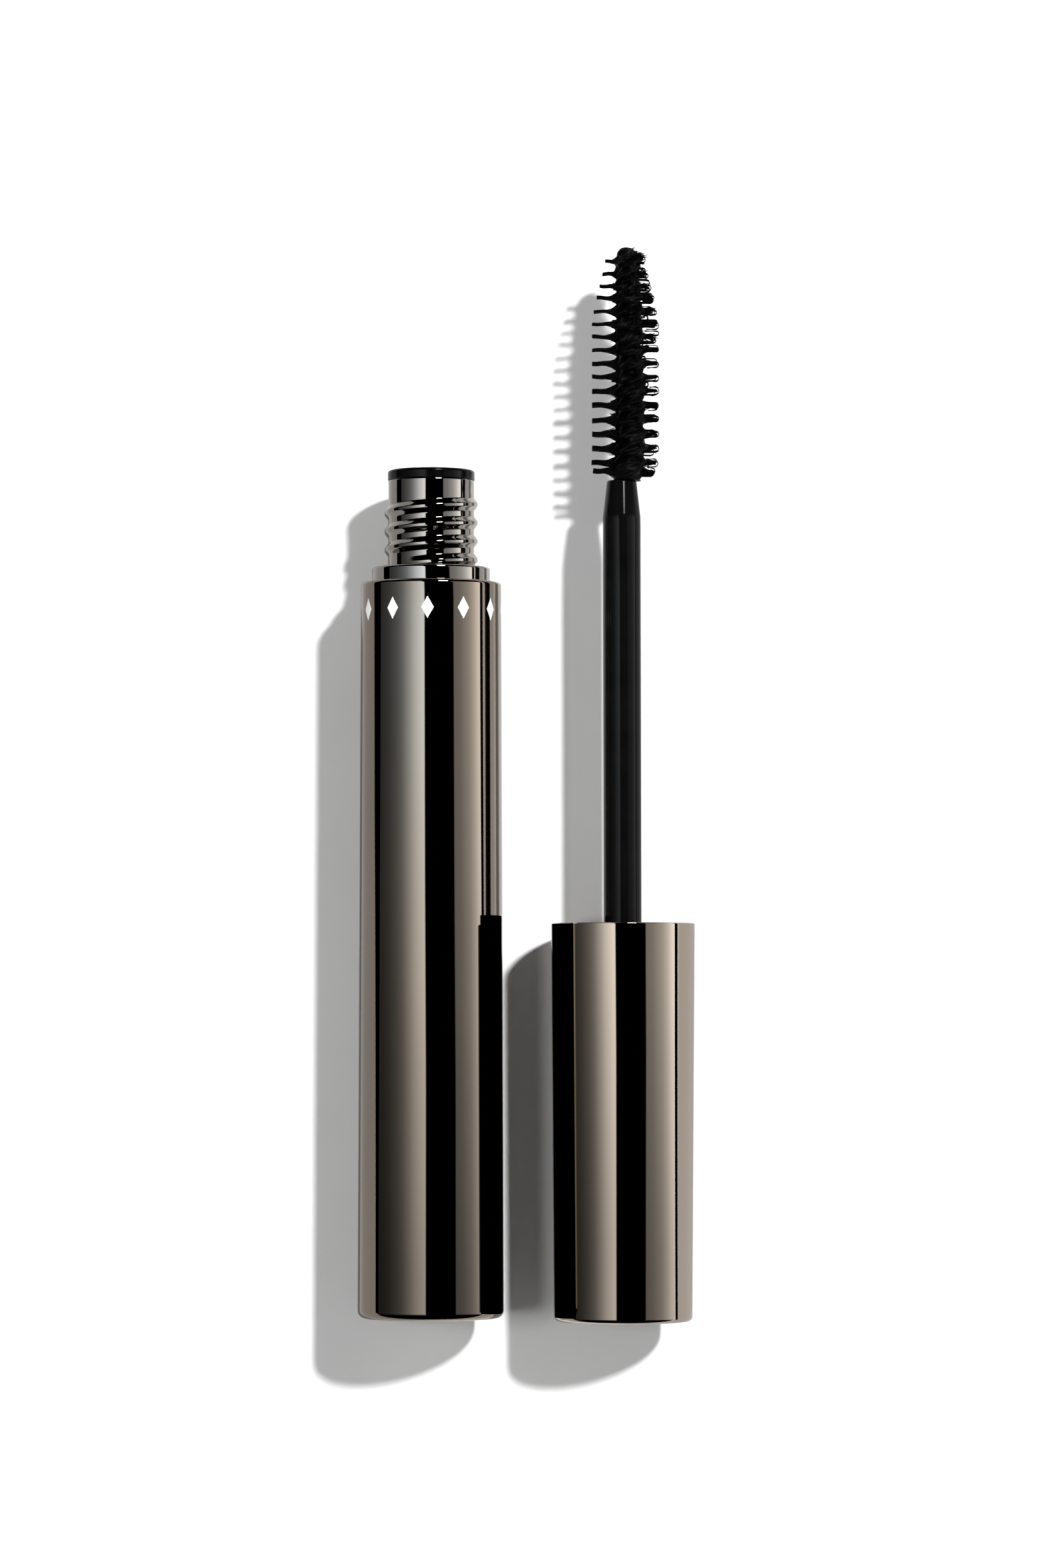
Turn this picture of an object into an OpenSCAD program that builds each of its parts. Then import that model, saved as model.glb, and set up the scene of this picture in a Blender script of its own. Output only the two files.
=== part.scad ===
// Open mascara: a metallised tube and its wand lie side by side on a flat surface.
// Both axes run along +Y. The tube's base and the cap's closed end face -Y, the threaded neck
// and the brush face +Y. The origin is under the centre of the pair, on the surface.
// Every piece is drawn standing on +Z from its own end, then laid down by on_tube() or on_wand().

/* [Tube] */
// Length of the tube from its base to its shoulder
tube_len = 82.6; // [78:0.1:83.4]
// Largest radius, at the base of the tube and at the mouth of the cap
body_r = 8.2; // [8.1:0.05:8.6]
// Radius of the tube at its shoulder
shoulder_r = 7.9; // [7.7:0.05:8]
// Radius of the rounded edge at the base
base_round = 0.9; // [0.6:0.1:1.2]
// Distance between the axes of the tube and the wand
axis_gap = 21.6; // [20:0.1:30]
// Set-back of the tube's base from the cap's closed end
base_setback = 0.35; // [0:0.05:1]

/* [Neck] */
// Radius of the plain neck
neck_r = 4.84; // [4.8:0.01:4.88]
// Height of the neck above the shoulder, without the wiper's flange
neck_h = 11.2; // [11:0.1:11.6]
// Crest radius of the neck's thread
thread_r = 5.59; // [5.5:0.01:5.6]
// Distance between turns of the thread
pitch = 2.08; // [2:0.01:2.15]
// Full turns of the neck's thread
thread_turns = 3.1; // [2.5:0.1:3.1]
// Radius of the shoulder ring
collar_r = 6.64; // [6.2:0.01:6.8]
// Height of the shoulder ring
collar_h = 1.7; // [1.2:0.1:1.8]
// Radius of the wiper's orifice
orifice_r = 2.15; // [2.12:0.01:2.3]

/* [Cap] */
// Length of the cap
cap_len = 44.6; // [40:0.1:46]
// Radius of the cap at its closed end
cap_end_r = 7.75; // [7.6:0.05:8]
// Radius of the rounded edge at the closed end
cap_round = 0.6; // [0.4:0.1:1]
// Turns that tighten the cap
cap_turns = 3.25; // [3:0.25:3.5]

/* [Wand] */
// Whole length of the wand, cap included
wand_len = 121.1; // [120:0.1:122]
// Radius of the stem
stem_r = 2.05; // [1.9:0.01:2.06]
// Radius of the stem's crimped tip
stem_tip_r = 1.66; // [1.4:0.01:1.8]
// Length of the tapered tip of the stem
stem_taper = 4.2; // [3:0.1:6]
// Length of the bristled brush
brush_len = 26.6; // [24:0.1:27]
// Radius of the brush along its straight part
brush_r = 3.9; // [3:0.05:4]
// Radius of the brush at its tip
brush_tip_r = 2; // [1.8:0.05:3]
// Advance of the bristles in one full twist of the wire
brush_pitch = 3; // [2.8:0.1:3.4]

/* [Hidden] */
$fn = 96;

air = 0.02;                              // radial gap between glued or pressed pieces
wall = 0.8;                              // wall of the tube's and the cap's outer shells
plug_r = body_r - base_round - 1.2;      // radius of the disc in the tube's base
plug_h = 1.2;
label_h = 0.08;
bottle_z = 2.4;                          // underside of the inner bottle
bottle_r = shoulder_r - wall - 0.25;
bottle_in = bottle_r - 0.9;
bottle_top = tube_len - wall;            // the bottle's shoulder meets the shell's from below
neck_in = neck_r - 0.94;
neck_top = tube_len + neck_h;
flange_h = 1.5;                          // rim of the wiper on top of the neck
flange_r = neck_r + 0.07;
mouth_z = neck_top + flange_h;           // the tube's mouth
wiper_r = neck_in - air;
wiper_in = wiper_r - 0.6;
wiper_depth = 10;
fill_top = 66;                           // level of the formula
channel_r = brush_r + 0.35;              // channel that the brush leaves in the formula

thread_z = tube_len + 2.4;               // the thread's centre line at its start
ridge_crest = 0.25;                      // half widths of the neck's ridge
ridge_root = 0.70;
groove_r = thread_r + 0.16;              // plain bore of the cap's insert
inner_crest_r = neck_r + 0.21;           // crest of the insert's ridge

insert_r = cap_end_r - wall - 0.35;
insert_top = cap_len - collar_h - 0.4;   // the insert stops short of the shoulder ring
seal_h = 0.8;
seal_z = cap_len - neck_h - flange_h - 0.15 - seal_h;
seal_in = stem_r + 0.25;
deck_h = 1.8;                            // wall of the insert that carries the stem
deck_z = seal_z - 0.05 - deck_h;
weight_z = wall + 0.02;
weight_h = 9;
stem_root = deck_z - 2.5;
stem_end = wand_len - brush_len;
socket_deep = 6.5;                       // depth of the wire in the stem
wire_r = 0.4;
wire_off = 0.42;                         // distance of each wire's centre from the axis
wire_env = wire_r + wire_off + 0.04;     // bore that clears the twisted pair
core_r = 1.35;                           // dense middle of the brush
tuft_half = 0.42;                        // half width of a bristle row at the core

// The insert's ridge runs midway between the neck's ridges when the cap is tight
closed_gap = 0.1;
mesh_z = tube_len + cap_len + closed_gap - thread_z + cap_turns * pitch;
inner_z = mesh_z - pitch * ceil((mesh_z - seal_z - seal_h - 1.1) / pitch) + pitch;
inner_turns = 2.75;

module on_tube() {
    translate([-axis_gap / 2, -wand_len / 2 + base_setback, body_r]) rotate([-90, 0, 0]) children();
}

module on_wand() {
    translate([axis_gap / 2, -wand_len / 2, body_r]) rotate([-90, 0, 0]) children();
}

// Points of a round corner, from angle a to angle b
function arc(x, z, r, a, b, n = 6) =
    [for (i = [0:n]) [x + r * cos(a + (b - a) * i / n), z + r * sin(a + (b - a) * i / n)]];

module turned(outline) {
    rotate_extrude() polygon(outline);
}

module ring(r_out, r_in, h) {
    difference() {
        cylinder(r = r_out, h = h);
        translate([0, 0, -1]) cylinder(r = r_in, h = h + 2);
    }
}

// Triangles that close n + 1 rings of m points each into one solid
function skin(n, m, flip) =
    let (tris = concat(
        [for (i = [0:n - 1], k = [0:m - 1]) let (a = m * i + k, b = m * i + (k + 1) % m)
            each [[a, b, b + m], [a, b + m, a + m]]],
        [for (k = [1:m - 2]) each [[0, k + 1, k], [m * n, m * n + k, m * n + k + 1]]]))
    flip ? [for (t = tris) [t[2], t[1], t[0]]] : tris;

module swept(rings, flip = false) {
    polyhedron([for (r = rings) each r], skin(len(rings) - 1, len(rings[0]), flip), convexity = 8);
}

function polar(r, a, z) = [r * cos(a), r * sin(a), z];

// A ridge wound on a cylinder. root_r and crest_r are its radii, root_w and crest_w its half
// widths along the axis; it fades in and out over fade turns at its ends.
module ridge(root_r, crest_r, root_w, crest_w, z0, lead, turns, fade = 0.12, steps = 24) {
    n = round(turns * steps);
    function level(t) = root_r + (crest_r - root_r) * max(0.06, min(1, t / fade, (turns - t) / fade));
    swept([for (i = [0:n]) let (t = turns * i / n, c = level(t), a = 360 * t, z = z0 + lead * t)
        [polar(root_r, a, z - root_w), polar(c, a, z - crest_w),
         polar(c, a, z + crest_w), polar(root_r, a, z + root_w)]], flip = crest_r < root_r);
}

module tube_shell() {
    color("#6b6259") on_tube() turned(concat(
        [[plug_r + 0.05, 0]],
        arc(body_r - base_round, base_round, base_round, -90, 0),
        arc(shoulder_r - 0.5, tube_len - 0.5, 0.5, 0, 90),
        [[neck_r + air, tube_len], [neck_r + air, tube_len - wall],
         [shoulder_r - wall, tube_len - wall], [body_r - wall, bottle_z],
         [body_r - wall, plug_h + 0.05], [plug_r + 0.05, plug_h + 0.05]]));
}

module base_plug() {
    color("#2b2a29") on_tube() {
        translate([0, 0, 0.2]) cylinder(r = plug_r, h = plug_h - 0.1);
        translate([0, 0, plug_h + 0.1]) cylinder(r = body_r - wall - 0.1, h = 0.9);
    }
}

module base_label() {
    color("#efece6") on_tube() translate([0, 0, 0.2 - label_h]) cylinder(r = plug_r - 0.7, h = label_h);
}

module bottle() {
    color("#8b8178") on_tube() {
        turned(concat(
            arc(bottle_r - 0.8, bottle_z + 0.8, 0.8, -90, 0),
            [[bottle_r, bottle_top], [neck_r, bottle_top], [neck_r, neck_top], [neck_in, neck_top],
             [neck_in, bottle_top - 1.2]],
            [[bottle_in, bottle_top - 2.6], [bottle_in, bottle_z + 1], [0, bottle_z + 1], [0, bottle_z]]));
        ridge(neck_r - 0.1, thread_r, ridge_root, ridge_crest, thread_z, pitch, thread_turns);
    }
}

module collar() {
    color("#8b8178") on_tube() translate([0, 0, tube_len]) turned(concat(
        [[neck_r + air, 0], [collar_r, 0]],
        arc(collar_r - 0.3, collar_h - 0.3, 0.3, 0, 90),
        [[neck_r + air, collar_h]]));
}

module wiper() {
    lip = neck_top - wiper_depth;
    color("#141312") on_tube() turned(concat(
        [[orifice_r, lip], [orifice_r + 0.5, lip], [wiper_r, neck_top - 5], [wiper_r, neck_top],
         [flange_r, neck_top]],
        arc(flange_r - 0.5, mouth_z - 0.5, 0.5, 0, 90),
        arc(wiper_in + 0.4, mouth_z - 0.4, 0.4, 90, 180),
        [[wiper_in, neck_top - 5], [orifice_r, lip + 1.2]]));
}

module formula() {
    color("#0b0a0a") on_tube() translate([0, 0, bottle_z + 1]) difference() {
        cylinder(r = bottle_in - air, h = fill_top - bottle_z - 1);
        translate([0, 0, 2]) cylinder(r = channel_r, h = fill_top);
    }
}

module cap_shell() {
    color("#6b6259") on_wand() turned(concat(
        [[0, 0]],
        arc(cap_end_r - cap_round, cap_round, cap_round, -90, 0),
        [[body_r, cap_len - 0.15], [body_r - 0.15, cap_len], [body_r - wall, cap_len],
         [cap_end_r - wall, deck_z], [cap_end_r - wall, wall + 0.6], [cap_end_r - wall - 0.6, wall],
         [0, wall]]));
}

module cap_weight() {
    color("#9a9a9c") on_wand() translate([0, 0, weight_z]) cylinder(r = cap_end_r - wall - 0.7, h = weight_h);
}

module cap_insert() {
    color("#1b1a19") on_wand() {
        difference() {
            translate([0, 0, deck_z]) cylinder(r = insert_r, h = insert_top - deck_z);
            translate([0, 0, deck_z + deck_h]) cylinder(r = groove_r, h = cap_len);
            translate([0, 0, deck_z - 1]) cylinder(r = stem_r + air, h = deck_h + 2);
        }
        ridge(groove_r + 0.1, inner_crest_r, 0.67, 0.2, inner_z, pitch, inner_turns);
        // collar under the deck that grips the shell
        translate([0, 0, deck_z - 6]) ring(cap_end_r - wall - air, insert_r - 0.9, 6);
    }
}

module seal_ring() {
    color("#d8d4cc") on_wand() translate([0, 0, seal_z]) ring(groove_r - 0.15, seal_in, seal_h);
}

module stem() {
    color("#0d0d0d") on_wand() difference() {
        union() {
            translate([0, 0, stem_root]) cylinder(r = stem_r, h = stem_end - stem_taper - stem_root);
            translate([0, 0, stem_end - stem_taper])
                cylinder(r1 = stem_r, r2 = stem_tip_r, h = stem_taper);
            translate([0, 0, stem_root]) cylinder(r = stem_r + 1.6, h = deck_z - stem_root);
        }
        translate([0, 0, stem_end - socket_deep]) cylinder(r = wire_env, h = socket_deep + 1);
    }
}

module brush_wire(steps = 10, corners = 6) {
    start = stem_end - socket_deep + 0.2;
    length = wand_len - 0.5 - start;
    n = round(length / brush_pitch * steps);
    color("#777472") on_wand() for (side = [0, 180])
        swept([for (i = [0:n]) let (z = start + length * i / n, a = side + 360 * (z - start) / brush_pitch)
            [for (k = [0:corners - 1]) polar(wire_off, a, z) + polar(wire_r, 360 * k / corners, 0)]],
            flip = true);
}

// Outer radius of the brush at a height above the stem's tip
function brush_env(z) =
    let (narrow = brush_len * 0.69)
    brush_r - (brush_r - brush_tip_r) * max(0, z - narrow) / (brush_len - narrow);

// One row of bristles, wound round the core as a fin that follows the brush's outline
module bristle_row(phase, steps = 16, edge = 0.08) {
    z_first = tuft_half + 0.1;
    length = brush_len - 2 * z_first;
    n = round(length / brush_pitch * steps);
    swept([for (i = [0:n]) let (z = z_first + length * i / n, a = phase + 360 * (z - z_first) / brush_pitch)
        [polar(core_r - 0.1, a, z - tuft_half), polar(brush_env(z), a, z - edge),
         polar(brush_env(z), a, z + edge), polar(core_r - 0.1, a, z + tuft_half)]]);
}

module bristles() {
    color("#0f0e0d") on_wand() translate([0, 0, stem_end + 0.05]) {
        ring(core_r, wire_env, brush_len - 0.05);
        for (phase = [0, 180]) bristle_row(phase);
    }
}

tube_shell();
base_plug();
base_label();
bottle();
collar();
wiper();
formula();
cap_shell();
cap_weight();
cap_insert();
seal_ring();
stem();
brush_wire();
bristles();
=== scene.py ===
"""The open mascara and its wand on a white surface, seen from above in studio light.

Outlines are in millimetres in a piece's own line: (radius, height), where the height runs along +Y
from the tube's base or from the cap's closed end. Objects are built in metres, in the CAD frame."""

import itertools
import math

import bpy
import numpy as np
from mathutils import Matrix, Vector


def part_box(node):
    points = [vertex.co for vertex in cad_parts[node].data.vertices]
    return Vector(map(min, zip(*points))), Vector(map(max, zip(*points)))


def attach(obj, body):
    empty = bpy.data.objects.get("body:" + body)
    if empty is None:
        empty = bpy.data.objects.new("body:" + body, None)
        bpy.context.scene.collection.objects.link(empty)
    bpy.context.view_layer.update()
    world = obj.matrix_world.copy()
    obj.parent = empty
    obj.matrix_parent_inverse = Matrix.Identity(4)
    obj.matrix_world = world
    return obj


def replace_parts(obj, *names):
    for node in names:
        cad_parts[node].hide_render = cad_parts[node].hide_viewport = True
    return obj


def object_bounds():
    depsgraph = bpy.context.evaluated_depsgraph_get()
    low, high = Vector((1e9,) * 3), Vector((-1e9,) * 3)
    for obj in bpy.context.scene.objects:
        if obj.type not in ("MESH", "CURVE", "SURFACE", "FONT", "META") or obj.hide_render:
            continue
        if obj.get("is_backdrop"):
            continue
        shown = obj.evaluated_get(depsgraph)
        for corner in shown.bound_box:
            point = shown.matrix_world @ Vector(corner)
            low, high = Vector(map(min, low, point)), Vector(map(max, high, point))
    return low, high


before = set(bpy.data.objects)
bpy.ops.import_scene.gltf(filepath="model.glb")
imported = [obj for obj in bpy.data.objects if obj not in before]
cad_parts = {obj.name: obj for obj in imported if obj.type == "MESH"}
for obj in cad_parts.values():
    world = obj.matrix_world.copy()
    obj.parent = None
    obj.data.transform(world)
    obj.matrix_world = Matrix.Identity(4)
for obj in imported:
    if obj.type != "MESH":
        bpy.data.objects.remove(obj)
cad_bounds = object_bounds()

MM = 0.001
TAU = 2 * math.pi


class Line:
    """The axis that a group of pieces shares, and the height along it that the CAD starts from."""

    def __init__(self, node):
        low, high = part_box(node)
        self.x = (low.x + high.x) / 2
        self.z = (low.z + high.z) / 2
        self.y = low.y

    def heights(self, node):
        """Lowest and highest height of a CAD node on this line, in millimetres."""
        low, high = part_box(node)
        return (low.y - self.y) / MM, (high.y - self.y) / MM

    def place(self, radius, angle, height):
        """Metres in the frame, for arrays of radius, angle from +X towards +Z, and height."""
        return np.stack(np.broadcast_arrays(
            self.x + radius * np.cos(angle) * MM,
            self.y + height * MM,
            self.z + radius * np.sin(angle) * MM), axis=-1).reshape(-1, 3)


def radius_of(node):
    low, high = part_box(node)
    return (high.x - low.x) / 2 / MM


TUBE = Line("tube_shell")
WAND = Line("cap_shell")

# ---------------------------------------------------------------- driving sizes, in millimetres

BODY_R = radius_of("tube_shell")
SHOULDER = TUBE.heights("tube_shell")[1]
SHOULDER_R = 7.9
NECK_TOP = TUBE.heights("bottle")[1]
LIP = NECK_TOP + 0.35
BASE_BORE_R = 6.15
NECK_R = 4.84
NECK_BORE = 3.9
MOUTH = TUBE.heights("wiper")[1]
RIM_R = NECK_R + 0.07
COLLAR_R = radius_of("collar")
COLLAR_TOP = TUBE.heights("collar")[1]
PITCH = 2.08
RIDGE_H = 0.41
FLANK_ROUNDING = 0.01
ORIFICE_R = 2.15

CAP_LEN = WAND.heights("cap_shell")[1]
CAP_MOUTH_R = BODY_R - 0.12
CAP_END_R = 7.77
WALL = 0.8
SKIRT = 6
DECK = WAND.heights("cap_insert")[0] + SKIRT
INSERT_TOP = WAND.heights("cap_insert")[1]
GROOVE_R = 5.75
STEM_R = 2.13
STEM_SET = 0.1
STEM_TIP_R = 1.66
STEM_END = WAND.heights("stem")[1]
BRUSH_START, BRUSH_END = WAND.heights("bristles")
BRUSH_R = radius_of("bristles")
BRUSH_SET = 0.34
CORE_TIP_R = 1.1


# ---------------------------------------------------------------- light settings

KEY_FROM = Vector((0.533, 0.54, 1.0)).normalized()
KEY_ENERGY = 4.8
KEY_WIDTH = 4.6
FILL_TILT = math.radians(29)
FILL_ENERGY = 1.15
FILL_WIDTH = 16
WORLD_BRIGHTNESS = 0.2
DOME_R = 0.25
BOX_BRIGHTNESS = 3.2
BOX_GREY = (0.748, 0.748, 0.748)
BOX_COOL = (0.748, 0.888, 1.0)
# share of the boxes' brightness over the angle from straight up, towards -X and +X, in degrees
ACROSS = [(-180, 0), (-92, 0.03), (-80, 0.03), (-68, 0.045), (-56, 0.08), (-50, 0.11), (-44, 0.155),
          (-38, 0.245), (-32, 0.345), (-26, 0.49), (-20, 0.60), (-13, 0.73), (-9.6, 0.75), (-9.0, 0),
          (37.0, 0), (37.6, 0.15), (48, 0.18), (55, 0.235), (65, 0.32), (75, 0.50), (82, 0.70),
          (90, 0.85), (100, 0.85), (180, 0)]
# share over the angle towards the closed ends (-) and towards the necks (+), in degrees
ALONG = [(-90, 0), (-33, 0), (-27, 0.42), (-22, 0.42), (-15, 0.47), (-10, 0.64), (-5, 0.80), (0, 0.90),
         (7.5, 1.0), (15, 1.0), (21, 0.08), (26, 0), (90, 0)]
# how much of the full lean towards -X the boxes have over that same angle, and the full lean in degrees
LEAN = [(-90, 0), (-8, 0), (-1, 0.23), (7, 0.38), (9.5, 0.41), (11, 1), (90, 1)]
FULL_LEAN = 7.3
# how far the left box is from grey to cool over that same angle
COOL = [(-90, 0), (-5.6, 0), (-1, 0.25), (3.7, 0.6), (8.5, 0.85), (10.5, 0.2), (90, 0.2)]
# how bright the surface looks in reflections, over x in metres: painted shade, darker to the left and just
# right of the wand, lighter between the tube and the cap and far to the right, for the uneven light there
REFLECTED_FLOOR_PAINTED_SHADE = [(-0.3, 0.30), (-0.03, 0.30), (-0.005, 0.6), (0.003, 0.6), (0.022, 0.39), (0.07, 0.39),
                 (0.12, 0.55), (0.3, 0.55)]
ALL_BUT_REFLECTIONS = ("camera", "diffuse", "shadow", "transmission", "volume_scatter")


# ---------------------------------------------------------------- mesh helpers

def add_mesh(name, points, faces, material, sharp=math.radians(32)):
    mesh = bpy.data.meshes.new(name)
    mesh.from_pydata([tuple(p) for p in points], [], faces)
    mesh.validate()
    obj = bpy.data.objects.new(name, mesh)
    bpy.context.scene.collection.objects.link(obj)
    mesh.materials.append(material)
    mesh.polygons.foreach_set("use_smooth", [True] * len(mesh.polygons))
    if sharp is not None:
        mesh.set_sharp_from_angle(angle=sharp)
    return obj


def rounded(corners, steps=7, hold=0.05):
    """Closed outline from (radius, height, fillet) corners. A point is held close to each end of an
    arc, so that the smooth shading stays flat along the straight stretches."""
    outline = []
    for i, (r, s, fillet) in enumerate(corners):
        here = np.array((r, s), float)
        if fillet == 0:
            outline.append(here)
            continue
        before = np.array(corners[i - 1][:2]) - here
        after = np.array(corners[(i + 1) % len(corners)][:2]) - here
        reach = 0.49 * min(np.linalg.norm(before), np.linalg.norm(after))
        u, v = before / np.linalg.norm(before), after / np.linalg.norm(after)
        half = math.acos(np.clip(u @ v, -1, 1)) / 2
        cut = min(fillet / math.tan(half), reach)
        middle = here + (u + v) / np.linalg.norm(u + v) * cut / math.cos(half)
        first, last = here + u * cut - middle, here + v * cut - middle
        a = math.atan2(first[1], first[0])
        sweep = (math.atan2(last[1], last[0]) - a + math.pi) % TAU - math.pi
        size = np.linalg.norm(first)
        if cut + hold < reach:
            outline.append(here + u * (cut + hold))
        for k in range(steps + 1):
            turn = a + sweep * k / steps
            outline.append(middle + size * np.array((math.cos(turn), math.sin(turn))))
        if cut + hold < reach:
            outline.append(here + v * (cut + hold))
    return outline


def grid_faces(rows, columns, closed):
    """Quads of a grid whose columns run round the axis, and whose rows form a loop if closed."""
    faces = []
    for i in range(rows if closed else rows - 1):
        a, b = i * columns, (i + 1) % rows * columns
        for j in range(columns):
            k = (j + 1) % columns
            faces.append((a + j, b + j, b + k, a + k))
    return faces


def add_rings(name, rings, segments, material):
    """A closed surface through rings of points, of which the last is joined to the first."""
    obj = add_mesh(name, np.concatenate(rings), grid_faces(len(rings), segments, True), material)
    weld(obj)
    return obj


def turned(name, line, corners, material, body, segments=160, wobble=None):
    """A solid of revolution from a rounded outline. wobble(angle, height) is added to the radius."""
    angle = np.arange(segments) * TAU / segments
    rings = []
    for r, s in rounded(corners):
        radius = np.full(segments, max(r, 0.0))
        if wobble is not None and r > 0:
            radius = radius + wobble(angle, s)
        rings.append(line.place(radius, angle, s))
    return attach(add_rings(name, rings, segments, material), body)


def weld(obj, distance=1e-7):
    """Joins the points that meet on the axis, and turns every face outwards."""
    import bmesh
    bm = bmesh.new()
    bm.from_mesh(obj.data)
    bmesh.ops.remove_doubles(bm, verts=bm.verts, dist=distance)
    bmesh.ops.dissolve_degenerate(bm, edges=bm.edges, dist=distance)
    bmesh.ops.recalc_face_normals(bm, faces=bm.faces)
    bm.to_mesh(obj.data)
    bm.free()


def smooth_step(t):
    t = np.clip(t, 0, 1)
    return t * t * (3 - 2 * t)


# ---------------------------------------------------------------- materials

def new_material(name):
    material = bpy.data.materials.new(name)
    material.use_nodes = True
    nodes = material.node_tree.nodes
    return material, nodes, material.node_tree.links, nodes["Principled BSDF"]


def noise(nodes, links, scale, detail=3.0, stretch=(1, 1, 1)):
    """A noise texture over the object's own metres, stretched along the given axes."""
    place = nodes.new("ShaderNodeTexCoord")
    mapping = nodes.new("ShaderNodeMapping")
    mapping.inputs["Scale"].default_value = stretch
    texture = nodes.new("ShaderNodeTexNoise")
    texture.inputs["Scale"].default_value = scale
    texture.inputs["Detail"].default_value = detail
    links.new(place.outputs["Object"], mapping.inputs["Vector"])
    links.new(mapping.outputs["Vector"], texture.inputs["Vector"])
    return texture.outputs["Fac"]


def ranged(nodes, links, source, low, high):
    node = nodes.new("ShaderNodeMapRange")
    node.inputs["To Min"].default_value = low
    node.inputs["To Max"].default_value = high
    links.new(source, node.inputs["Value"])
    return node.outputs["Result"]


def two_tone(nodes, links, source, dark, light):
    ramp = nodes.new("ShaderNodeValToRGB")
    ramp.color_ramp.elements[0].position = 0.35
    ramp.color_ramp.elements[0].color = (*dark, 1)
    ramp.color_ramp.elements[1].position = 0.65
    ramp.color_ramp.elements[1].color = (*light, 1)
    links.new(source, ramp.inputs["Fac"])
    return ramp.outputs["Color"]


def base_colour(nodes, links, shader, source, dark, light):
    links.new(two_tone(nodes, links, source, dark, light), shader.inputs["Base Color"])


def bump(nodes, links, source, shader, strength, distance):
    node = nodes.new("ShaderNodeBump")
    node.inputs["Strength"].default_value = strength
    node.inputs["Distance"].default_value = distance
    links.new(source, node.inputs["Height"])
    links.new(node.outputs["Normal"], shader.inputs["Normal"])


def metallised(name, dark, light, roughness=0.035):
    """Vacuum-metallised lacquer: a tinted mirror with slow colour drift and very faint haze."""
    material, nodes, links, shader = new_material(name)
    shader.inputs["Metallic"].default_value = 1.0
    drift = noise(nodes, links, 60, 2, (1, 0.3, 1))
    base_colour(nodes, links, shader, drift, dark, light)
    haze = noise(nodes, links, 900, 4)
    links.new(ranged(nodes, links, haze, roughness * 0.7, roughness * 1.3), shader.inputs["Roughness"])
    bump(nodes, links, noise(nodes, links, 260, 2), shader, 0.05, 0.00002)
    return material


def plastic(name, dark, light, roughness, grain=1500, depth=0.1, **sockets):
    material, nodes, links, shader = new_material(name)
    base_colour(nodes, links, shader, noise(nodes, links, 300), dark, light)
    texture = noise(nodes, links, grain, 4)
    links.new(ranged(nodes, links, texture, roughness * 0.8, roughness * 1.25), shader.inputs["Roughness"])
    bump(nodes, links, texture, shader, depth, 0.00003)
    for socket, value in sockets.items():
        shader.inputs[socket.replace("_", " ")].default_value = value
    return material


def turned_steel(name):
    """Bare steel with fine lathe rings along the axis."""
    material, nodes, links, shader = new_material(name)
    shader.inputs["Metallic"].default_value = 1.0
    rings = noise(nodes, links, 400, 3, (0.05, 12, 0.05))
    base_colour(nodes, links, shader, rings, (0.42, 0.42, 0.42), (0.62, 0.61, 0.60))
    shader.inputs["Roughness"].default_value = 0.3
    bump(nodes, links, rings, shader, 0.3, 0.00004)
    return material


def paper(name):
    material, nodes, links, shader = new_material(name)
    fibre = noise(nodes, links, 2500, 5, (1, 1, 3))
    base_colour(nodes, links, shader, fibre, (0.80, 0.79, 0.76), (0.88, 0.87, 0.84))
    shader.inputs["Roughness"].default_value = 0.75
    bump(nodes, links, fibre, shader, 0.3, 0.00003)
    return material


def flat_emission(name, strength, colour=(1, 1, 1)):
    material = bpy.data.materials.new(name)
    material.use_nodes = True
    nodes, links = material.node_tree.nodes, material.node_tree.links
    nodes.clear()
    glow = nodes.new("ShaderNodeEmission")
    glow.name = "Emission"
    glow.inputs["Color"].default_value = (*colour, 1)
    glow.inputs["Strength"].default_value = strength
    links.new(glow.outputs["Emission"], nodes.new("ShaderNodeOutputMaterial").inputs["Surface"])
    return material


SOOT = ((0.001, 0.001, 0.001), (0.002, 0.002, 0.002))
# the tube and the cap share one finish; the cap's copy is painted brighter, as painted light for the
# stronger light the boxes give the cap
TUBE_METAL = metallised("tube_metal", (0.31, 0.262, 0.216), (0.335, 0.284, 0.234))
CAP_METAL_PAINTED_BRIGHTER = metallised("cap_metal_painted_brighter", (0.49, 0.418, 0.348), (0.52, 0.444, 0.370))
NECK_METAL = metallised("neck_metal", (0.36, 0.335, 0.305), (0.39, 0.363, 0.33), 0.04)
WIPER_RUBBER = plastic("wiper_rubber", *SOOT, 0.16, 1800, 0.1, Specular_IOR_Level=0.16)
BASE_PLASTIC = plastic("base_plastic", (0.015, 0.015, 0.015), (0.024, 0.023, 0.022), 0.22)
INSERT_PLASTIC = plastic("insert_plastic", (0.02, 0.019, 0.018), (0.032, 0.03, 0.029), 0.38, 1200, 0.2)
SEAL_FOAM = plastic("seal_foam", (0.70, 0.69, 0.65), (0.80, 0.79, 0.75), 0.6, 2600, 0.5)
STEM_PLASTIC = plastic("stem_plastic", (0.002, 0.002, 0.002), (0.003, 0.003, 0.003), 0.08, 500, 0.03,
                       Specular_IOR_Level=0.14)
BRISTLE = plastic("bristle_nylon", *SOOT, 0.5, 4000, 0.2, Specular_IOR_Level=0.06)
PASTE = plastic("mascara_paste", *SOOT, 0.45, 1600, 0.8, Specular_IOR_Level=0.08)
WIRE_STEEL = turned_steel("wire_steel")
WEIGHT_STEEL = turned_steel("weight_steel")
LABEL_PAPER = paper("label_paper")
MARK_INK = plastic("mark_ink", (0.86, 0.86, 0.85), (0.92, 0.92, 0.91), 0.5, 3000, 0.1)


# ---------------------------------------------------------------- tube

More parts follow.
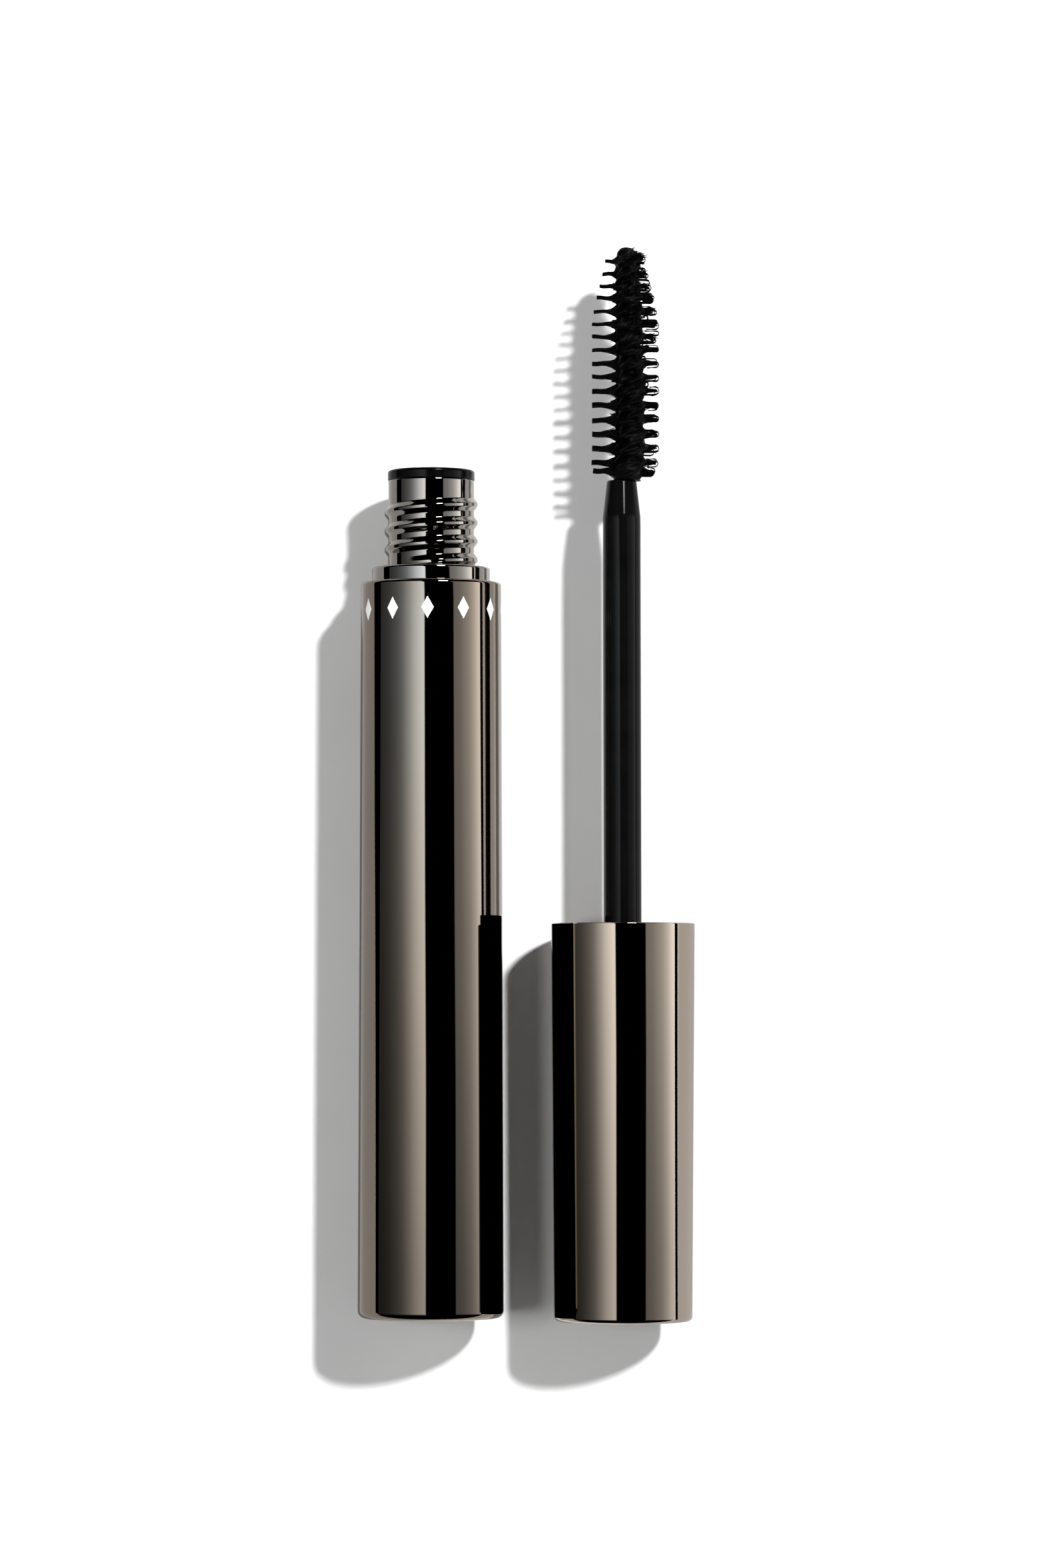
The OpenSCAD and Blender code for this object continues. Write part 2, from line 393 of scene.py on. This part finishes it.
def helix_ridge(angle, height, start, turns, crest, root, rise, fade=0.16):
    """Height of a helical ridge over its cylinder, at an array of angles and one height. The ridge's
    crest passes the height `start` at angle 0, and `turns` gives where it begins and ends. `crest` and
    `root` are half its width at the top and at the cylinder, and `fade` is its run-out in turns."""
    total = np.zeros_like(angle)
    for k in range(-2, 6):
        turn = angle / TAU + k
        along = height - start - PITCH * turn
        level = smooth_step((turn - turns[0]) / fade) * smooth_step((turns[1] - turn) / fade)
        flank = np.clip((root - np.abs(along)) / (root - crest), 0, 1)
        total = np.maximum(total, rise * level * (flank - FLANK_ROUNDING * np.sin(TAU * flank)))
    return total


def make_tube_shell():
    inner = BODY_R - WALL
    hole, ceiling = NECK_R + 0.02, SHOULDER - WALL
    corners = [(BASE_BORE_R, 0, 0.12), (BODY_R, 0, 0.85), (SHOULDER_R, SHOULDER, 0.38),
               (hole, SHOULDER, 0), (hole, ceiling, 0), (SHOULDER_R - WALL, ceiling, 0.2),
               (inner, 2.4, 0), (inner, 1.25, 0), (BASE_BORE_R, 1.25, 0)]
    piece = turned("tube_sleeve", TUBE, corners, TUBE_METAL, "tube", 256)
    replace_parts(piece, "tube_shell")


def make_bottle():
    """The inner bottle with its threaded neck, as one surface with the ridge raised from it."""
    segments, step = 288, 0.05
    angle = np.arange(segments) * TAU / segments
    shoulder = SHOULDER - WALL
    outer, floor, outer_floor = 6.75, 3.4, 2.4
    low = rounded([(6.0, floor, 0.5), (0, floor, 0), (0, outer_floor, 0), (outer, outer_floor, 0.8),
                   (outer, shoulder, 0.3)])
    high = rounded([(NECK_R, LIP, 0.1), (NECK_BORE, LIP, 0), (NECK_BORE, shoulder - 1.2, 0.3),
                    (5.9, shoulder - 2.6, 0.3)], steps=3)
    rings = [TUBE.place(r, angle, s) for r, s in low]
    # the ridge's own angle runs the other way round the axis: +X towards -Z, as a right-hand screw
    for s in np.arange(shoulder, LIP - 0.12, step):
        rise = helix_ridge((-angle) % TAU, s, SHOULDER + 2.62, (-0.36, 3.3), 0.17, 0.73, RIDGE_H)
        rings.append(TUBE.place(NECK_R + rise, angle, s))
    rings += [TUBE.place(r, angle, s) for r, s in high]
    obj = add_rings("threaded_bottle", rings, segments, NECK_METAL)
    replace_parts(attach(obj, "tube"), "bottle")


def make_collar():
    hole = NECK_R + 0.02
    corners = [(hole, SHOULDER, 0), (COLLAR_R, SHOULDER, 0.08), (COLLAR_R, COLLAR_TOP, 0.28),
               (hole, COLLAR_TOP, 0)]
    piece = turned("shoulder_ring", TUBE, corners, NECK_METAL, "tube", 224)
    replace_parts(piece, "collar")


def make_wiper():
    outer = NECK_BORE - 0.02
    inner = outer - 0.6
    lip = NECK_TOP - 10
    corners = [(ORIFICE_R, lip, 0.12), (ORIFICE_R + 0.5, lip, 0.12), (outer, NECK_TOP - 5, 0.3),
               (outer, LIP, 0), (RIM_R, LIP, 0.1), (RIM_R, MOUTH - 0.02, 0.3),
               (inner, MOUTH, 0.42), (inner, NECK_TOP - 5, 0.4), (ORIFICE_R, lip + 1.2, 0.2)]
    piece = turned("wiper_insert", TUBE, corners, WIPER_RUBBER, "tube", 192)
    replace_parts(piece, "wiper")


def make_base():
    face, rear, step = 0.2, 2.2, 1.3
    narrow, wide = 6.06, 7.25
    plug = [(0, face, 0), (narrow, face, 0.12), (narrow, step, 0), (wide, step, 0.1),
            (wide, rear, 0.15), (0, rear, 0)]
    piece = turned("base_disc", TUBE, plug, BASE_PLASTIC, "tube", 160)
    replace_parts(piece, "base_plug")
    sticker_r, sticker_face = 5.3, 0.12
    sticker = [(0, sticker_face, 0), (sticker_r, sticker_face, 0.03), (sticker_r, face, 0), (0, face, 0)]
    piece = turned("blank_sticker", TUBE, sticker, LABEL_PAPER, "tube", 128)
    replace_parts(piece, "base_label")


def make_marks():
    """A ring of plain lozenges printed under the shoulder."""
    count, width, tall = 12, 1.4, 2.45
    middle = SHOULDER - 3.25
    proud, sunk = 0.012, -0.05
    levels = 10
    points, faces = [], []
    slope = (BODY_R - SHOULDER_R) / SHOULDER
    for m in range(count):
        centre = math.pi / 2 + 0.035 + TAU * m / count
        for layer in (proud, sunk):
            start = len(points)
            for i in range(levels + 1):
                v = 2 * i / levels - 1
                s = middle + tall / 2 * v
                r = SHOULDER_R + slope * (SHOULDER - s) + layer
                half = max(0.02, width / 2 * (1 - abs(v))) / SHOULDER_R
                for t in (-1, -0.5, 0, 0.5, 1):
                    points.append(TUBE.place(r, centre + half * t, s)[0])
            for i, j in itertools.product(range(levels), range(4)):
                corner = start + 5 * i + j
                quad = (corner, corner + 1, corner + 6, corner + 5)
                faces.append(quad if layer == proud else quad[::-1])
        top, under = len(points) - 10 * (levels + 1), len(points) - 5 * (levels + 1)
        rim = [5 * i for i in range(levels + 1)] + [5 * levels + j for j in range(1, 5)]
        rim += [5 * i + 4 for i in range(levels - 1, -1, -1)] + [3, 2, 1]
        for a, b in zip(rim, rim[1:] + rim[:1]):
            faces.append((top + a, top + b, under + b, under + a))
    obj = add_mesh("printed_marks", points, faces, MARK_INK)
    weld(obj, 1e-9)
    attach(obj, "tube")


# ---------------------------------------------------------------- wand

def make_cap():
    inner = CAP_END_R - WALL
    corners = [(0, 0, 0), (CAP_END_R, 0, 0.55), (CAP_MOUTH_R, CAP_LEN, 0.12),
               (CAP_MOUTH_R - WALL, CAP_LEN, 0.12), (inner, DECK, 0), (inner, WALL, 0.4), (0, WALL, 0)]
    piece = turned("cap_sleeve", WAND, corners, CAP_METAL_PAINTED_BRIGHTER, "wand", 256)
    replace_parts(piece, "cap_shell")


def make_cap_insert():
    """The cap's lining: a threaded bore, a deck with a hole for the stem, and a gripping skirt below."""
    segments, step = 224, 0.06
    angle = np.arange(segments) * TAU / segments
    outer = CAP_END_R - WALL - 0.35
    hole, deck_top = STEM_R + 0.02, DECK + 1.8
    skirt_end, skirt_outer, skirt_inner = DECK - SKIRT, CAP_END_R - WALL - 0.02, outer - 0.9
    low = rounded([(hole, DECK, 0), (hole, deck_top, 0.1), (GROOVE_R, deck_top, 0.15)])
    high = rounded([(GROOVE_R, INSERT_TOP, 0.15), (outer, INSERT_TOP, 0.15), (outer, DECK, 0),
                    (skirt_outer, DECK, 0), (skirt_outer, skirt_end, 0.1), (skirt_inner, skirt_end, 0.1),
                    (skirt_inner, DECK, 0)], steps=3)
    rings = [WAND.place(r, angle, s) for r, s in low]
    for s in np.arange(DECK + 2.05, INSERT_TOP - 0.25, step):
        rise = helix_ridge((-angle) % TAU, s, DECK + 5.4, (0, 2.75), 0.18, 0.6, 0.68)
        rings.append(WAND.place(GROOVE_R - rise, angle, s))
    rings += [WAND.place(r, angle, s) for r, s in high]
    obj = add_rings("cap_lining", rings, segments, INSERT_PLASTIC)
    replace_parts(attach(obj, "wand"), "cap_insert")


def make_seal():
    low, high = WAND.heights("seal_ring")
    inner, outer = STEM_R + 0.25, GROOVE_R - 0.15
    corners = [(inner, low, 0.15), (outer, low, 0.2), (outer, high, 0.2), (inner, high, 0.15)]
    piece = turned("gasket", WAND, corners, SEAL_FOAM, "seal", 128)
    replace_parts(piece, "seal_ring")


def make_stem():
    root = WAND.heights("stem")[0]
    flange_r, socket_r, socket_end = STEM_R + 1.6, 0.86, STEM_END - 6.5
    corners = [(0, root, 0), (flange_r, root, 0.2), (flange_r, DECK, 0.1), (STEM_R, DECK, 0),
               (STEM_R, STEM_END - 4.2, 6), (STEM_TIP_R, STEM_END, 0.22), (socket_r, STEM_END, 0.1),
               (socket_r, socket_end, 0), (0, socket_end, 0)]

    def sideways(angle, s):
        """The rod's set towards -X, which grows over the last 8 mm inside the cap."""
        return -STEM_SET * np.cos(angle) * smooth_step((s - CAP_LEN + 8) / 8)

    piece = turned("stem_rod", WAND, corners, STEM_PLASTIC, "wand", 160, sideways)
    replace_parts(piece, "stem")


def brush_reach(s):
    """Outer radius of the brush at a height on the wand."""
    full = BRUSH_START + 0.69 * (BRUSH_END - BRUSH_START)
    return BRUSH_R - 0.04 - (BRUSH_R - 2.0) * np.clip((s - full) / (BRUSH_END - full), 0, 1)


def brush_lean(s):
    """Sideways set of the brush on its stem, where the wire has been bent a little in use."""
    return BRUSH_SET * smooth_step((s - BRUSH_START + 1.5) / 5)


def tooth_heights():
    """Heights of the teeth that each side of the brush shows: closer at the tip than at the stem."""
    heights, s = [], BRUSH_END - 1.74
    while s > BRUSH_START + 0.6:
        heights.append(s)
        s -= 1.39 + 0.27 * smooth_step(len(heights) / 16)
    return np.array(heights[::-1])


def twist_angle(s, teeth):
    """Angle of the bristles at a height: a half turn from each ridge to the next."""
    return np.pi * np.interp(s, teeth, np.arange(len(teeth)), left=-0.5, right=len(teeth) - 0.5)


def make_wire():
    """Two round wires twisted together, from inside the stem to the brush's tip."""
    teeth = tooth_heights()
    start, stop = WAND.heights("brush_wire")
    steps, corners = 260, 10
    wire_r, wire_off = 0.36, 0.38
    points, faces = [], []
    for side in (0, math.pi):
        first = len(points)
        for s in np.linspace(start + 0.1, stop - 0.6, steps):
            turn = side + twist_angle(s, teeth) + math.pi / 2
            centre = np.array((wire_off * math.cos(turn), wire_off * math.sin(turn)))
            for k in range(corners):
                a = TAU * k / corners
                x, z = centre + wire_r * np.array((math.cos(a), math.sin(a)))
                x += brush_lean(s)
                points.append((WAND.x + x * MM, WAND.y + s * MM, WAND.z + z * MM))
        faces += [tuple(first + i for i in f) for f in grid_faces(steps, corners, False)]
        faces.append(tuple(first + k for k in range(corners)))
        faces.append(tuple(first + (steps - 1) * corners + k for k in range(corners - 1, -1, -1)))
    obj = add_mesh("twisted_wire", points, faces, WIRE_STEEL, math.radians(60))
    weld(obj)
    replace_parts(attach(obj, "wand"), "brush_wire")


def make_core():
    """The dense middle of the brush, caked with product: a lumpy spindle with a round tip."""
    rng = np.random.default_rng(11)
    teeth = tooth_heights()
    segments = 72
    angle = np.arange(segments) * TAU / segments
    tip = BRUSH_END - 0.1
    heights = np.concatenate([np.arange(BRUSH_START, BRUSH_END - 1.2, 0.1),
                              tip - CORE_TIP_R * np.cos(np.linspace(0, math.pi / 2, 16))])
    waves = [(rng.uniform(2, 9), rng.integers(1, 7), rng.uniform(0, TAU), rng.uniform(0.02, 0.07))
             for _ in range(26)]
    rows = []
    for s in heights:
        share = np.clip((s - BRUSH_START) / (BRUSH_END - BRUSH_START), 0, 1)
        base, fuller = 1.66 - 0.44 * share ** 2, 0.58 - 0.33 * share ** 2
        cap = np.clip((tip - s) / CORE_TIP_R, 0, 1)
        lumps = sum(h * np.sin(f * s + m * angle + p) for f, m, p, h in waves)
        twist = 0.14 * np.cos(2 * (angle - twist_angle(s, teeth)))
        radius = (base + lumps + twist + fuller * np.cos(angle)) * math.sqrt(max(0.0, 1 - (1 - cap) ** 2))
        row = WAND.place(np.maximum(0.02, radius), angle, s)
        row[:, 0] += brush_lean(s) * MM
        rows.append(row)
    faces = grid_faces(len(rows), segments, False)
    last = (len(rows) - 1) * segments
    faces.append(tuple(range(segments)))
    faces.append(tuple(last + k for k in range(segments - 1, -1, -1)))
    obj = add_mesh("coated_core", np.concatenate(rows), faces, PASTE, None)
    weld(obj)
    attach(obj, "wand")


def fibre(points, faces, path, thick):
    """One bristle: a thin three-sided rod along a path of points, in millimetres on the wand's line."""
    n = len(path)
    first = len(points)
    path = np.array(path)
    for i in range(n):
        along = path[min(i + 1, n - 1)] - path[max(i - 1, 0)]
        side = np.cross(along, (0.2, 0.3, 1))
        side /= np.linalg.norm(side) + 1e-9
        up = np.cross(side, along / (np.linalg.norm(along) + 1e-9))
        r = thick * (1 - 0.35 * i / (n - 1))
        for a in (0, TAU / 3, 2 * TAU / 3):
            points.append(path[i] + r * (side * math.cos(a) + up * math.sin(a)))
    for i in range(n - 1):
        a = first + 3 * i
        for k in range(3):
            b = (k + 1) % 3
            faces.append((a + k, a + b, a + 3 + b, a + 3 + k))
    faces.append((first + 2, first + 1, first))
    faces.append(tuple(first + 3 * (n - 1) + k for k in range(3)))


def stuck_tuft(rng, s0, reach, power, half, spread):
    """Paths (radius, sideways, height) of fibres that product has stuck into one tooth. A high power
    leaves a round gap beside the tooth, half is its half width at the end, and spread the share of its
    length by which fibres fall short."""
    lean = rng.normal(0, 0.07)
    for _ in range(56):
        root, tip = rng.uniform(-0.95, 0.95), rng.uniform(-half, half)
        side = rng.normal(0, 0.17)
        length = reach * (1 - abs(rng.normal(0, spread)))
        yield [(0.7 + (length - 0.7) * u, side * (0.6 + 0.8 * u),
                s0 + root * (1 - u) ** power + (tip + lean * u) + 0.04 * math.sin(9 * u + 3 * s0))
               for u in np.linspace(0, 1, 7)]


def clean_tuft(rng, s0, reach, wedge):
    """Paths of a straight tooth: thin with round gaps at wedge 0, and thick with pointed ones at 1."""
    return stuck_tuft(rng, s0, reach, 4 - 0.9 * wedge, 0.16 + 0.11 * wedge, 0.018)


def looped_tuft(rng, s0, reach, wedge):
    """Paths of fibres that bend back at the tooth's end, so that two strands and a round end show."""
    for strand in range(rng.integers(4, 7)):
        half = rng.uniform(0.2, 0.42) * rng.choice((-1, 1))
        out = reach - abs(half) - (0.05 if strand == 0 else rng.uniform(0.1, 0.7))
        away, side = s0 + rng.normal(0, 0.22), rng.normal(0, 0.5)
        back = rng.uniform(0.1, 1.5)
        for _ in range(rng.integers(6, 11)):
            a, b, c = rng.normal(0, 0.045, 3)
            path = [(0.7 + (out - 0.7) * u, side * u + a, away + b + half + rng.normal(0, 0.02) * (1 - u))
                    for u in (0, 0.5, 1)]
            for v in np.linspace(math.pi / 4, math.pi, 4):
                far = out + abs(half) * math.sin(v)
                path.append((far, side + a, away + b * math.cos(v) + half * math.cos(v)))
            path.append((out - back - c, side + a, away - half + b))
            yield path
    for _ in range(24):
        root, tip, side = rng.uniform(-0.7, 0.7), rng.uniform(-0.45, 0.45), rng.normal(0, 0.3)
        length = reach * rng.uniform(0.72, 0.97)
        yield [(0.7 + (length - 0.7) * u, side * u, s0 + root * (1 - u) ** 2 + tip * u * u)
               for u in np.linspace(0, 1, 5)]


def ragged_tuft(rng, s0, reach, wedge):
    """Paths of a thick tooth that thins to a torn end, with a few loops beside it."""
    thick = stuck_tuft(rng, s0 + rng.normal(0, 0.06), reach * rng.uniform(0.93, 1),
                       1.7 - 0.5 * wedge, 0.17, 0.11)
    return itertools.chain(thick, itertools.islice(looped_tuft(rng, s0, reach, wedge), 12))


def make_bristles():
    """Tufts of fibres along the twist, each standing out on both sides of the wire. Product has stuck
    those of one flank into clean teeth, and left those of the other looped and full."""
    rng = np.random.default_rng(5)
    teeth = tooth_heights()
    points, faces = [], []
    for t in range(-1, 4 * len(teeth) - 2):
        phase = t / 4
        s0 = float(np.interp(phase, np.arange(len(teeth)), teeth)) if t >= 0 else teeth[0] - 0.92
        share = 1 - (s0 - BRUSH_START) / (BRUSH_END - BRUSH_START)
        wedge = smooth_step(2.4 * share - 0.9)
        for side in (0, math.pi):
            middle = side if t < 0 else math.pi * phase + side
            facing = abs(math.cos(middle))
            outward = math.cos(middle) > 0.4
            reach = float(brush_reach(s0)) - 0.06
            if t < 0:
                reach *= 0.93
            elif facing < 0.9:
                reach *= 0.80 if facing < 0.5 else 0.66 if outward else 0.50
            tuft = looped_tuft if outward else clean_tuft
            if outward and share > 0.42:
                tuft = ragged_tuft
            for path in tuft(rng, s0, reach, wedge):
                placed_path = []
                for r, w, s in path:
                    r = min(r, reach)
                    x = r * math.cos(middle) - w * math.sin(middle)
                    z = r * math.sin(middle) + w * math.cos(middle)
                    over = max(1.0, math.hypot(x, z) / (BRUSH_R - 0.08))
                    s = min(max(s, BRUSH_START + 0.08), BRUSH_END - 0.15)
                    placed_path.append((x / over + brush_lean(s), s, z / over))
                fibre(points, faces, placed_path, rng.uniform(0.055, 0.08))
    # short fibres that stand out of the round tip, fuller on the looped flank
    for _ in range(90):
        s0, middle = BRUSH_END - rng.uniform(0.35, 1.9), rng.normal(0, 0.75)
        reach = 2.75 - 1.7 * abs(s0 - BRUSH_END + 1.3) + rng.uniform(-0.6, 0)
        rise = rng.uniform(-0.25, 0.35)
        path = [(0.5 + (reach - 0.5) * u, min(s0 + rise * u * u, BRUSH_END - 0.15))
                for u in (0, 0.35, 0.7, 1)]
        rod = [(r * math.cos(middle) + brush_lean(s), s, r * math.sin(middle)) for r, s in path]
        fibre(points, faces, rod, rng.uniform(0.05, 0.07))
    placed = np.array(points) * MM + np.array((WAND.x, WAND.y, WAND.z))
    obj = add_mesh("bristle_fibres", placed, faces, BRISTLE, None)
    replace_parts(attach(obj, "wand"), "bristles")


# ---------------------------------------------------------------- stage, light and camera

def hide_from(obj, *rays):
    for ray in rays:
        setattr(obj, "visible_" + ray, False)


def make_matt(shader):
    shader.inputs["Roughness"].default_value = 0.9
    shader.inputs["Specular IOR Level"].default_value = 0.0


def make_floor():
    material, nodes, links, shader = new_material("white_surface")
    grain = noise(nodes, links, 120, 4)
    base_colour(nodes, links, shader, grain, (0.80, 0.80, 0.80), (0.815, 0.815, 0.815))
    make_matt(shader)
    size = 3.0
    square = [(-size, -size), (size, -size), (size, size), (-size, size)]
    floor = add_mesh("floor", [(x, y, 0) for x, y in square], [(0, 1, 2, 3)], material)
    hide_from(floor, "glossy")
    floor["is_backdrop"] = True

    # what the mirror finish sees of the surface, with painted shade: darker to the left and near the wand's
    # right side, for the weaker light there
    material, nodes, links, shader = new_material("floor_painted_shade_in_reflection")
    place = nodes.new("ShaderNodeTexCoord")
    split = nodes.new("ShaderNodeSeparateXYZ")
    links.new(place.outputs["Object"], split.inputs["Vector"])
    shade = curve(nodes, links, split.outputs["X"], REFLECTED_FLOOR_PAINTED_SHADE)
    links.new(shade, shader.inputs["Base Color"])
    make_matt(shader)
    seen = add_mesh("floor_reflected", [(x, y, 0.00004) for x, y in square], [(0, 1, 2, 3)], material)
    hide_from(seen, *ALL_BUT_REFLECTIONS)
    seen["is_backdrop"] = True


def make_backdrop():
    """A pale wall far round the floor, seen only by the camera."""
    segments, radius, low, high = 64, 2.9, -0.2, 3.2
    turns = [TAU * k / segments for k in range(segments)]
    ring = [(radius * math.cos(a), radius * math.sin(a)) for a in turns]
    points = [(x, y, z) for z in (low, high) for x, y in ring]
    obj = add_mesh("backdrop", points, grid_faces(2, segments, False), flat_emission("backdrop_white", 1.0))
    hide_from(obj, "diffuse", "glossy", "transmission", "shadow", "volume_scatter")
    obj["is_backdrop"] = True


def math_node(nodes, links, operation, a, b=None):
    node = nodes.new("ShaderNodeMath")
    node.operation = operation
    for socket, value in zip(node.inputs, (a, b)):
        if isinstance(value, (int, float)):
            socket.default_value = value
        elif value is not None:
            links.new(value, socket)
    return node.outputs[0]


def curve(nodes, links, source, stops):
    """Piecewise linear curve of grey values, from the first stop's position to the last's."""
    node = nodes.new("ShaderNodeValToRGB")
    low, high = stops[0][0], stops[-1][0]
    elements = node.color_ramp.elements
    while len(elements) < len(stops):
        elements.new(0.5)
    for element, (at, value) in zip(elements, stops):
        element.position = (at - low) / (high - low)
        element.color = (value, value, value, 1)
    along = math_node(nodes, links, "SUBTRACT", source, low)
    links.new(math_node(nodes, links, "DIVIDE", along, high - low), node.inputs["Fac"])
    return node.outputs["Color"]


def make_studio():
    """What the mirror finish reflects: two soft boxes along the object, painted on a dome, with a dark
    gap over it. Only reflections see them; the world and the lamps light the rest."""
    bpy.ops.mesh.primitive_uv_sphere_add(segments=96, ring_count=48, radius=DOME_R)
    dome = bpy.context.object
    dome.name = "studio_boxes"
    dome.data.polygons.foreach_set("use_smooth", [True] * len(dome.data.polygons))
    material = flat_emission("studio_panels", 0.0)
    nodes, links = material.node_tree.nodes, material.node_tree.links
    place = nodes.new("ShaderNodeTexCoord")
    unit = nodes.new("ShaderNodeVectorMath")
    unit.operation = "NORMALIZE"
    links.new(place.outputs["Object"], unit.inputs[0])
    split = nodes.new("ShaderNodeSeparateXYZ")
    links.new(unit.outputs["Vector"], split.inputs["Vector"])
    x, y, z = split.outputs
    along = math_node(nodes, links, "DEGREES", math_node(nodes, links, "ARCSINE", y))
    across = math_node(nodes, links, "DEGREES", math_node(nodes, links, "ARCTAN2", x, z))
    lean = math_node(nodes, links, "MULTIPLY", curve(nodes, links, along, LEAN), FULL_LEAN)
    leaning = math_node(nodes, links, "ADD", across, lean)
    panels = math_node(nodes, links, "MULTIPLY", curve(nodes, links, leaning, ACROSS),
                       curve(nodes, links, along, ALONG))
    left = math_node(nodes, links, "LESS_THAN", across, 0)
    tint = nodes.new("ShaderNodeValToRGB")
    tint.color_ramp.elements[0].color = (*BOX_GREY, 1)
    tint.color_ramp.elements[1].color = (*BOX_COOL, 1)
    coolness = math_node(nodes, links, "MULTIPLY", left, curve(nodes, links, along, COOL))
    links.new(coolness, tint.inputs["Fac"])
    glow = nodes["Emission"]
    links.new(tint.outputs["Color"], glow.inputs["Color"])
    strength = math_node(nodes, links, "MULTIPLY", panels, BOX_BRIGHTNESS)
    links.new(strength, glow.inputs["Strength"])
    dome.data.materials.append(material)
    hide_from(dome, *ALL_BUT_REFLECTIONS)
    dome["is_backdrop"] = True

    world = bpy.data.worlds.new("fill")
    bpy.context.scene.world = world
    world.use_nodes = True
    background = world.node_tree.nodes["Background"]
    background.inputs["Color"].default_value = (1, 1, 1, 1)
    background.inputs["Strength"].default_value = WORLD_BRIGHTNESS


def make_flags():
    """Low black cards that only reflections see: one each side that ends the white surface, and one
    between the tube and the cap, which keeps each dark in the other."""
    black = flat_emission("flag_black", 0.0)
    cards = {
        "flag_right": [(0.062, -0.08, 0.0045), (0.150, 0.02, 0.0170), (0.26, 0.15, 0.026)],
        "flag_left": [(-0.150, -0.08, 0.0140), (-0.070, 0.0, 0.0140), (-0.045, 0.06, 0.0140)],
        "flag_between": [(0.0, -0.0610, 0.0142), (0.0, -0.0150, 0.0142)],
    }
    for name, stations in cards.items():
        count = len(stations)
        points = [(x, y, 0) for x, y, tall in stations] + list(stations)
        faces = [(i, i + 1, count + i + 1, count + i) for i in range(count - 1)]
        obj = add_mesh(name, points, faces, black)
        hide_from(obj, *ALL_BUT_REFLECTIONS)
        obj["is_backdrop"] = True


def add_sun(name, source, energy, angle):
    """A distant lamp shining from a direction, as wide as `angle` degrees. Reflections don't see it."""
    sun = bpy.data.lights.new(name, "SUN")
    sun.energy = energy
    sun.angle = math.radians(angle)
    obj = bpy.data.objects.new(name, sun)
    bpy.context.scene.collection.objects.link(obj)
    obj.rotation_euler = Vector(source).to_track_quat("Z", "Y").to_euler()
    hide_from(obj, "glossy")


def make_lights():
    add_sun("key", KEY_FROM, KEY_ENERGY, KEY_WIDTH)
    # opens the shadows from the left, but is too low to reach between the tube and the cap
    add_sun("fill_left", (-math.sin(FILL_TILT), 0, math.cos(FILL_TILT)), FILL_ENERGY, FILL_WIDTH)

    # the key lamp's bright face, as the neck and the stem's tip show it
    bpy.ops.mesh.primitive_circle_add(vertices=48, radius=0.027, fill_type="NGON")
    disc = bpy.context.object
    disc.name = "key_face"
    disc.location = (0.057, 0.115, 0.184)
    disc.rotation_euler = KEY_FROM.to_track_quat("Z", "Y").to_euler()
    disc.data.materials.append(flat_emission("key_face_white", 30.0))
    hide_from(disc, *ALL_BUT_REFLECTIONS)
    disc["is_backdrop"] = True


def make_camera():
    """Looks down from 0.65 m over the lower third, tilted by two degrees to centre the object."""
    low, high = cad_bounds
    middle = (Vector(low) + Vector(high)) / 2
    camera = bpy.data.cameras.new("camera")
    camera.lens = 130.6
    camera.sensor_width = 36
    obj = bpy.data.objects.new("camera", camera)
    bpy.context.scene.collection.objects.link(obj)
    x = middle.x - 0.0005
    obj.location = (x, middle.y - 0.02627, 0.648)
    target = Vector((x, middle.y - 0.00027, middle.z))
    obj.rotation_euler = (obj.location - target).to_track_quat("Z", "Y").to_euler()
    bpy.context.scene.camera = obj


def write_sizes():
    pairs = {"cad": cad_bounds, "visual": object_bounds()}
    {name: [list(corner) for corner in box] for name, box in pairs.items()}


make_camera()
make_studio()
make_lights()
make_floor()
make_backdrop()
make_flags()

make_tube_shell()
make_bottle()
make_collar()
make_wiper()
make_base()
make_marks()

make_cap()
make_cap_insert()
make_seal()
make_stem()
make_wire()
make_core()
make_bristles()

for node, material in (("formula", PASTE), ("cap_weight", WEIGHT_STEEL)):
    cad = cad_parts[node].data
    cad.materials.clear()
    cad.materials.append(material)

bpy.context.scene.view_settings.view_transform = "Standard"
write_sizes()
